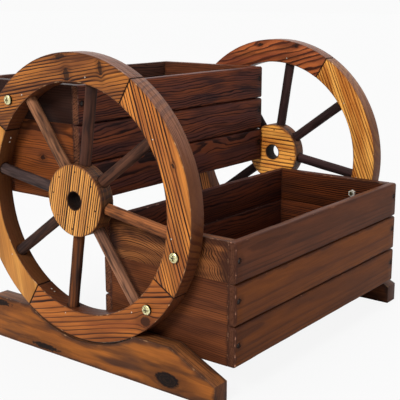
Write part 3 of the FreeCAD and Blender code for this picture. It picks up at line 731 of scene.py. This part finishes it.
def buildHubs():
    for side, finish in hubs.items():
        finish = dict(finish)
        x = wheels[side] - wheel["hubProud"]
        origin = Vector((x, axle.y, axle.z))
        piece = placed(hubPattern, f"hub_{side}", 0, origin)
        roughen(piece, *wheel["hubWaver"], finish["Seed"])
        brads = []
        for number, drift in enumerate(wheel["hubDrift"]):
            turn = wheel["spokeTurn"] + wheel["spokeStep"] * number + drift
            brads.append(bradCutter(x, wheel["hubBrads"], turn, wheel["hubBradWide"]))
        subtract(piece, brads)
        along = outward(finish.pop("lean"))
        across = Vector((-1, 0, 0)).cross(along)
        centre = origin + Vector((wheel["hubThick"] / 2, 0, 0))
        hoop = (wheel["bore"], wheel["hubRadius"], x, x + wheel["hubThick"])
        material = woodMaterial(f"hub_{side}", "hub", centre, along, across, hoop=hoop, **finish)
        finishPiece(piece, material, f"wheel_{side}_hub", slot="hub_wood")


spokes = {   # from the one that stands nearly upright, towards the front
    "near": [
        {"Pale": "58372a", "Rich": "3a2721"}, {"Pale": "5a3a2c", "Rich": "3e281f"},
        {"Pale": "a5643a", "Rich": "6e4229"}, {"Pale": "9a6b50", "Rich": "5c4033"},
        {"Pale": "84491f", "Rich": "332724"}, {"Pale": "4d352a", "Rich": "2c2120"},
        {"Pale": "57443e", "Rich": "332a2b"}, {"Pale": "a36f4e", "Rich": "6e4a35"},
    ],
    "far": [{"Pale": "3c2725", "Rich": "281c1c"}, {"Pale": "402b28", "Rich": "2a1f1f"}] * 4,
}
spokeFigure = {"seedSteps": (1.7, 9.1), "pithAcross": (14, 9, 4), "pithDepth": (9, 13, 17, 21),
               "pithLean": 0.02}


def buildSpokes():
    perSpoke, perLetter = spokeFigure["seedSteps"]
    across, depths = spokeFigure["pithAcross"], spokeFigure["pithDepth"]
    for side, finishes in spokes.items():
        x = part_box(f"wheel_{side}_spoke_1")
        x = (x[0].x + x[1].x) / 2
        for number, finish in enumerate(finishes):
            turn = wheel["spokeTurn"] + wheel["spokeStep"] * number
            origin = Vector((x, axle.y, axle.z))
            piece = placed(spokePattern, f"spoke_{side}_{number + 1}", turn, origin)
            seed = number * perSpoke + len(side) * perLetter
            roughen(piece, *wheel["spokeWaver"], seed)
            along = outward(turn)
            centre = origin + along * (wheel["spokeStart"] + wheel["spokeEnd"]) / 2
            pith = (across[number % len(across)], depths[number % len(depths)], spokeFigure["pithLean"])
            material = woodMaterial(f"spoke_{side}_{number + 1}", "spoke", centre, along, Vector((1, 0, 0)),
                                    Seed=seed, Pith=pith, **finish)
            finishPiece(piece, material, f"wheel_{side}_spoke_{number + 1}", slot="spoke_wood", angle=50)


buildFelloes()
buildHubs()
buildSpokes()
for leftover in (felloePattern, hubPattern, spokePattern):
    bpy.data.objects.remove(leftover)
print("wheels built")


# Boxes

board = {"round": 0.0035, "roundSteps": 4, "edge": 0.0009, "endEdge": 0.00063, "cuts": 24,
         "waver": (0.00035, 0.03), "lip": 0.0007, "sinkRadius": 0.0032, "sinkSides": 20, "sinkDepth": 0.0019,
         "nailInset": 0.0075, "nailDarkSpot": (4.3, 1.2), "seedStep": 0.37}
nailRise = {"near": (2.2, 5.1, 1.9), "far": (6.7, 7.1, 5.3)}   # mm above the middle of planks 1 to 3
boards = {
    "box_low_front_1": {"kind": "lowPlank", "Seed": 20.0, "Pale": "5c331e", "Rich": "48291b", "Line": 0.45},
    "box_low_front_3": {"kind": "lowPlank", "Seed": 22.0, "Pale": "623517", "Rich": "4f2b17"},
    "box_low_front": {"kind": "lowPlank", "Seed": 21.0},
    "box_low_back": {"kind": "highPlank", "Seed": 24.0, "Pale": "5a2c1b", "Rich": "3c2019"},
    "box_high_front_1": {"kind": "highPlank", "Seed": 27.0, "Patches": 0.8, "Stain": "241a1d", "Ring": 2.9},
    "box_high_front_2": {"kind": "highPlank", "Seed": 28.0, "Ring": 3.9, "Wander": 9.0},
    "box_high_front_3": {"kind": "highPlank", "Seed": 29.0, "Pale": "6a361f", "Pith": (24, -40, 0.05),
                         "Ring": 3.9, "Wander": 8.0},
    "box_high_back": {"kind": "highPlank", "Seed": 31.0, "Pale": "603c2e", "Rich": "483028"},
    # its wide dark band along the edges is partly painted shade, where the wheel in front shades the board
    "box_low_end_near_upper": {"kind": "board", "Seed": 33.0, "Pale": "955d33", "Rich": "5e3622", "Ring": 2.7,
                               "Pith": (-38, -43, 0.0), "Dive": 0.6, "Wander": 8.0, "Line": 0.85, "Char": 0.2,
                               "Burn": 0.85, "Scorch": 24.0, "knots": [(-70, 7, 5, 1.5)]},
    "box_low_end_near_lower": {"kind": "board", "Seed": 34.0, "Pale": "6e3d21", "Rich": "522d1c", "Ring": 2.8,
                               "Line": 0.65, "Wander": 2.0, "Pith": (110, -30, 0.02)},
    # its dark colours are painted shade: this end lies in shade inside the box
    "box_low_end_far": {"kind": "board", "Seed": 35.0, "Pale": "5c2c14", "Rich": "3a1d10", "Dark": "130906",
                        "Line": 1.0, "Width": 0.4, "Ring": 3.2, "Pith": (110, -30, 0.02)},
    # its very dark colours are partly painted shade, the rim's shadow on this board
    "box_high_end_near_upper": {"kind": "board", "Seed": 37.0, "Pale": "382119", "Rich": "221512",
                                "Wander": 5.0},
    "box_high_end_far": {"kind": "board", "Seed": 39.0, "Pale": "6c3b23", "Rich": "48291d", "Wander": 5.0},
    "box_high_end": {"kind": "board", "Seed": 38.0, "Pale": "82451f", "Rich": "60331d", "Ring": 2.7,
                     "knots": [(-37, 3, 4, 1.3)]},
    "box_low_floor": {"kind": "floor", "Seed": 41.0},
    "box_high_floor": {"kind": "floor", "Seed": 43.0},
}


def makeBlank(name, low, high, long):
    # A sawn board with cuts across it, so that it can waver.
    middle, size = (low + high) / 2, high - low
    clearSelection()
    bpy.ops.mesh.primitive_cube_add(size=1, location=middle)
    piece = begin(name)
    bpy.ops.object.mode_set(mode="EDIT")
    bpy.ops.mesh.select_all(action="SELECT")
    bpy.ops.transform.resize(value=size, center_override=middle)
    pickEdges(piece, lambda one, other: abs(one[long] - other[long]) > size[long] / 2)
    bpy.ops.mesh.subdivide(number_cuts=board["cuts"])
    return piece


def makePlank(name, wall, row, seed):
    low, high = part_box(name)
    outer, inner = (low.y, high.y) if wall == "front" else (high.y, low.y)
    piece = makeBlank(f"plank_{name}", low, high, 0)
    pickEdges(piece, lambda one, other: (
        max(abs(one.y - outer), abs(other.y - outer), abs(one.z - other.z)) < touch))
    bpy.ops.mesh.bevel(offset=board["round"], segments=board["roundSteps"], affect="EDGES")
    mesh = bmesh.from_edit_mesh(piece.data)
    for vert in mesh.verts:   # planks meet behind their rounded gap
        if abs(vert.co.y - inner) < touch:
            if vert.co.z > high.z - touch and row > 1:
                vert.co.z += board["lip"]
            if vert.co.z < low.z + touch and row < 3:
                vert.co.z -= board["lip"]
    bmesh.update_edit_mesh(piece.data)
    bpy.ops.object.mode_set(mode="OBJECT")
    softenEdges(piece, board["edge"])
    roughen(piece, *board["waver"], seed)
    cutters = []
    inset, middle = board["nailInset"], (low.z + high.z) / 2
    for x, end in ((low.x + inset, "near"), (high.x - inset, "far")):
        bpy.ops.mesh.primitive_cylinder_add(
            vertices=board["sinkSides"], radius=board["sinkRadius"], depth=board["sinkDepth"] * 2,
            rotation=(math.radians(90), 0, 0), location=(x, outer, middle + nailRise[end][row - 1] / mm))
        cutters.append(begin("cutter"))
    subtract(piece, cutters)
    return piece


def makeEndBoard(name, seed):
    low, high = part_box(name)
    piece = makeBlank(f"board_{name}", low, high, 1)
    bpy.ops.object.mode_set(mode="OBJECT")
    softenEdges(piece, board["endEdge"])
    roughen(piece, *board["waver"], seed)
    return piece


def boardWood(name, finish, seed):
    low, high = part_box(name)
    size = (high - low) * mm
    along = Vector((1, 0, 0)) if size.x > size.y else Vector((0, 1, 0))
    across = Vector((0, 1, 0)) if "floor" in name else Vector((0, 0, 1))
    half = [abs(size.dot(axis)) / 2 for axis in (along, across, along.cross(across))]
    if "Plank" in finish["kind"]:   # darker round the nails, over their sunk holes
        row = int(name[-1]) - 1
        inset = half[0] - board["nailInset"] * mm
        finish["knots"] = [(side * inset, nailRise[end][row], *board["nailDarkSpot"])
                           for side, end in ((-1, "near"), (1, "far"))]
        finish["Bend"], finish["Char"] = 0.0, 1.0
    if finish["kind"] == "board":   # two boards glued edge to edge wear as one
        other = name.replace("upper", "lower") if "upper" in name else name.replace("lower", "upper")
        bottom, top = sorted((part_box(name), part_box(other)), key=lambda pair: pair[0].z)
        finish["offset"] = ((bottom[0].z + top[1].z) - (low.z + high.z)) / 2 * mm
        half[1] = (top[1].z - bottom[0].z) / 2 * mm
    return woodMaterial(name + "_wood", finish.pop("kind"), (low + high) / 2, along, across,
                        half=half, Seed=seed, **finish)


def buildBoards():
    for name in sorted(nodes):
        group = next((key for key in boards if name.startswith(key)), None)
        if not group:
            continue
        finish = dict(boards[group])
        seed = finish.pop("Seed") + sum(ord(letter) for letter in name) * board["seedStep"]
        wood = boardWood(name, finish, seed)
        if "floor" in name:
            dressNode(name, wood)
        elif "end" in name:
            finishPiece(makeEndBoard(name, seed), wood, name, slot="end_wood")
        else:
            plank = makePlank(name, name.split("_")[2], int(name[-1]), seed)
            finishPiece(plank, wood, name, slot="plank_wood", angle=40)


buildBoards()
print("boxes built")


# Feet

foot = {"endHeight": 0.029, "slope": 0.074, "seatRadius": 0.178, "seatHeight": 0.2104, "seatWide": 0.05,
        "seatSides": 256, "edge": 0.0011, "crease": 22,
        "finish": {"near": {"Seed": 47.3, "Char": 1.0,
                            "knots": [(-170, -14, 11.5, 2.0), (62, -25, 5, 6.0), (175, 23, 6, 7.0)]},
                   "far": {"Seed": 52.1, "Pale": "5e351e", "Rich": "47281a", "Side": "5e3a26",
                           "UnderShade": "46261c"}}}


def footEdge(place, half, seatAlong, seatAcross):
    # The way to the beam's edges, in mm: its outline's, where the side faces end.
    along, across, depth = place.split()
    inset = half[0] - along.absolute()
    endHeight = foot["endHeight"] * mm
    pitch = (half[1] * 2 - endHeight) / (foot["slope"] * mm)
    slope = (inset * pitch + (endHeight - half[1]) - across) * (1 / math.sqrt(1 + pitch * pitch))
    aside, above = along - seatAlong, across - seatAcross
    seat = (aside * aside + above * above).root() - foot["seatRadius"] * mm
    outline = (half[1] - across).least(across + half[1]).least(slope).least(inset).least(seat)
    return outline.most(half[2] - depth.absolute())


def buildFoot(side):
    name = f"foot_{side}"
    low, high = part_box(name)
    finish = foot["finish"][side]
    piece = makeBlank(f"beam_{side}", low, high, 1)
    rise = high.z - low.z - foot["endHeight"]
    for end, way in ((low.y, -1), (high.y, 1)):
        bpy.ops.mesh.select_all(action="SELECT")
        bpy.ops.mesh.bisect(
            plane_co=(0, end, low.z + foot["endHeight"]), plane_no=(0, way * rise, foot["slope"]),
            use_fill=True, clear_outer=True)
    bpy.ops.object.mode_set(mode="OBJECT")
    clearSelection()
    bpy.ops.mesh.primitive_cylinder_add(
        vertices=foot["seatSides"], radius=foot["seatRadius"], depth=foot["seatWide"],
        rotation=(0, math.radians(90), 0), location=((low.x + high.x) / 2, axle.y, foot["seatHeight"]))
    subtract(piece, [begin("cutter")])
    softenEdges(piece, foot["edge"], limit=foot["crease"])
    roughen(piece, *board["waver"], finish["Seed"])
    middle = (low + high) / 2
    half = [size / 2 * mm for size in (high.y - low.y, high.z - low.z, high.x - low.x)]
    spot = ((axle.y - middle.y) * mm, (foot["seatHeight"] - middle.z) * mm)
    wood = woodMaterial(f"foot_{side}_wood", "foot", middle, Vector((0, 1, 0)), Vector((0, 0, 1)),
                        beam=(half, *spot), **finish)
    finishPiece(piece, wood, name, slot="foot_wood", angle=30)


for side in foot["finish"]:
    buildFoot(side)
print("feet built")


# Fasteners

metals = {
    "zinc": {"color": "e6dfb0", "shade": "8f8552", "rough": 0.3, "metal": 1.0, "shadeAndSoot": 0.0,
             "nodes": ["bolts", "spacers", "foot_screws"]},
    # nuts: near-white and mostly not metal, partly painted glint, so they show bright in the box's shade
    "platedGlint": {"color": "f2efe4", "shade": "b4ac98", "rough": 0.35, "metal": 0.25, "nodes": ["nuts"]},
    "nail": {"color": "3a3432", "shade": "221c1a", "rough": 0.5, "metal": 1.0,
             "nodes": ["box_low_nails", "box_high_nails"]},
    "brad": {"color": "e8e2d4", "shade": "a89c88", "rough": 0.4, "metal": 0.5, "shadeAndSoot": 0.06,
             "nodes": ["wheel_near_brads", "wheel_far_brads"]},
}
metalSkin = {"spots": (3.0, 420.0), "grit": (2.0, 2600.0), "shaded": (0.4, 0.65), "roughSpread": 0.15,
             "sootAndShade": "17110e", "sootAndShadeFade": 0.01, "recessShade": "1d1a14", "recess": (0.15, 0.6),
             "relief": 0.25, "bump": 0.0002}


def metalMaterial(name, finish):
    material = bpy.data.materials.new(name)
    material.use_nodes = True
    tree = material.node_tree
    shader = tree.nodes["Principled BSDF"]
    start = Wire(tree)
    at = start.node("TexCoord", None, None, 3)
    spots, grit = clouds(at, *metalSkin["spots"]), clouds(at, *metalSkin["grit"])
    color = spots.rise(*metalSkin["shaded"]).between(tint(finish["color"]), tint(finish["shade"]))
    if finish.get("shadeAndSoot"):   # painted shade on the brads sunk in the hubs, with soot, this near the axle
        y, z = at.split()[1] - axle.y, at.split()[2] - axle.z
        clean = (y * y + z * z).root().rise(finish["shadeAndSoot"], finish["shadeAndSoot"] + metalSkin["sootAndShadeFade"])
        color = color.blend(tint(metalSkin["sootAndShade"]), 1 - clean)
    elif "shadeAndSoot" in finish:   # or painted shade in recesses, on the sides that don't face along the axle
        wall = start.node("TexCoord", None, None, 1).split()[0]
        color = color.blend(tint(metalSkin["recessShade"]), 1 - wall.absolute().rise(*metalSkin["recess"]))
    spread = metalSkin["roughSpread"]
    rough = spots.spread(finish["rough"] - spread, finish["rough"] + spread)
    normal = start.node("Bump", None, {
        "Strength": metalSkin["relief"], "Distance": metalSkin["bump"], "Height": grit})
    tree.links.new(color.socket, shader.inputs["Base Color"])
    tree.links.new(rough.socket, shader.inputs["Roughness"])
    tree.links.new(normal.socket, shader.inputs["Normal"])
    shader.inputs["Metallic"].default_value = finish["metal"]
    return material


for name, finish in metals.items():
    metal = metalMaterial(name, finish)
    for node in finish["nodes"]:
        dressNode(node, metal)
print("fasteners dressed")


# Studio

studio = {
    "white": 0.955, "ambient": 0.2, "floorSize": 60, "floorShare": 0.06, "paper": 0.75,
    "lamps": {"key": (2.75, 20, (-0.75, -0.08, 0.62)),   # energy, angle and where from
              "top": (1.9, 50, (0.1, 0.2, 1.0)),
              "fill": (0.9, 60, (0.25, -0.9, 0.22))},
}


def addSun(name, energy, angle, source):
    lamp = bpy.data.lights.new(name, "SUN")
    lamp.energy = energy
    lamp.angle = math.radians(angle)
    holder = bpy.data.objects.new(name, lamp)
    holder.rotation_euler = Vector(source).to_track_quat("Z", "Y").to_euler()
    bpy.context.scene.collection.objects.link(holder)


def makeFloor():
    clearSelection()
    bpy.ops.mesh.primitive_plane_add(size=studio["floorSize"], location=(0, 0, 0))
    floor = begin("floor")
    material = bpy.data.materials.new("floor_paper")
    material.use_nodes = True
    tree = material.node_tree
    tree.nodes.clear()
    start = Wire(tree)
    paper = start.node("BsdfDiffuse", None, {"Color": (studio["paper"],) * 3 + (1,)})
    glow = start.node("Emission", None, {"Color": (1, 1, 1, 1), "Strength": studio["white"]})
    path = start.node("LightPath", None, None, 0)
    share = path * (1 - studio["floorShare"])
    both = start.node("MixShader", None, {0: share, 1: paper, 2: glow})
    out = tree.nodes.new("ShaderNodeOutputMaterial")
    tree.links.new(both.socket, out.inputs[0])
    dress(floor, material)


def makeWorld():
    # The camera sees it white; what lights the stand is dimmer.
    world = bpy.data.worlds.new("studio")
    bpy.context.scene.world = world
    world.use_nodes = True
    tree = world.node_tree
    tree.nodes.clear()
    start = Wire(tree)
    path = start.node("LightPath", None, None, 0)
    camera, glossy, through = [Wire(tree, path.socket.node.outputs[name]) for name in (
        "Is Camera Ray", "Is Glossy Ray", "Is Transmission Ray")]
    light, backdrop = [start.node("Background", None, {"Color": (1, 1, 1, 1), "Strength": studio[name]})
                       for name in ("ambient", "white")]
    both = start.node("MixShader", None, {0: camera.most(glossy).most(through), 1: light, 2: backdrop})
    out = tree.nodes.new("ShaderNodeOutputWorld")
    tree.links.new(both.socket, out.inputs[0])


view = {"place": (-1.06991665, -0.84501548, 0.50327101), "turn": (77.18195, -0.1357, -53.22181),
        "sensor": 36, "lens": 78.092, "shift": (-0.03286, -0.00584)}


def makeCamera():
    data = bpy.data.cameras.new("camera")
    data.sensor_width = view["sensor"]
    data.lens = view["lens"]
    data.shift_x, data.shift_y = view["shift"]
    camera = bpy.data.objects.new("camera", data)
    camera.location = view["place"]
    camera.rotation_euler = [math.radians(angle) for angle in view["turn"]]
    bpy.context.scene.collection.objects.link(camera)
    bpy.context.scene.camera = camera


makeFloor()
makeWorld()
for name, settings in studio["lamps"].items():
    addSun(name, *settings)
makeCamera()
bpy.context.scene.view_settings.view_transform = "Standard"
print("studio set")
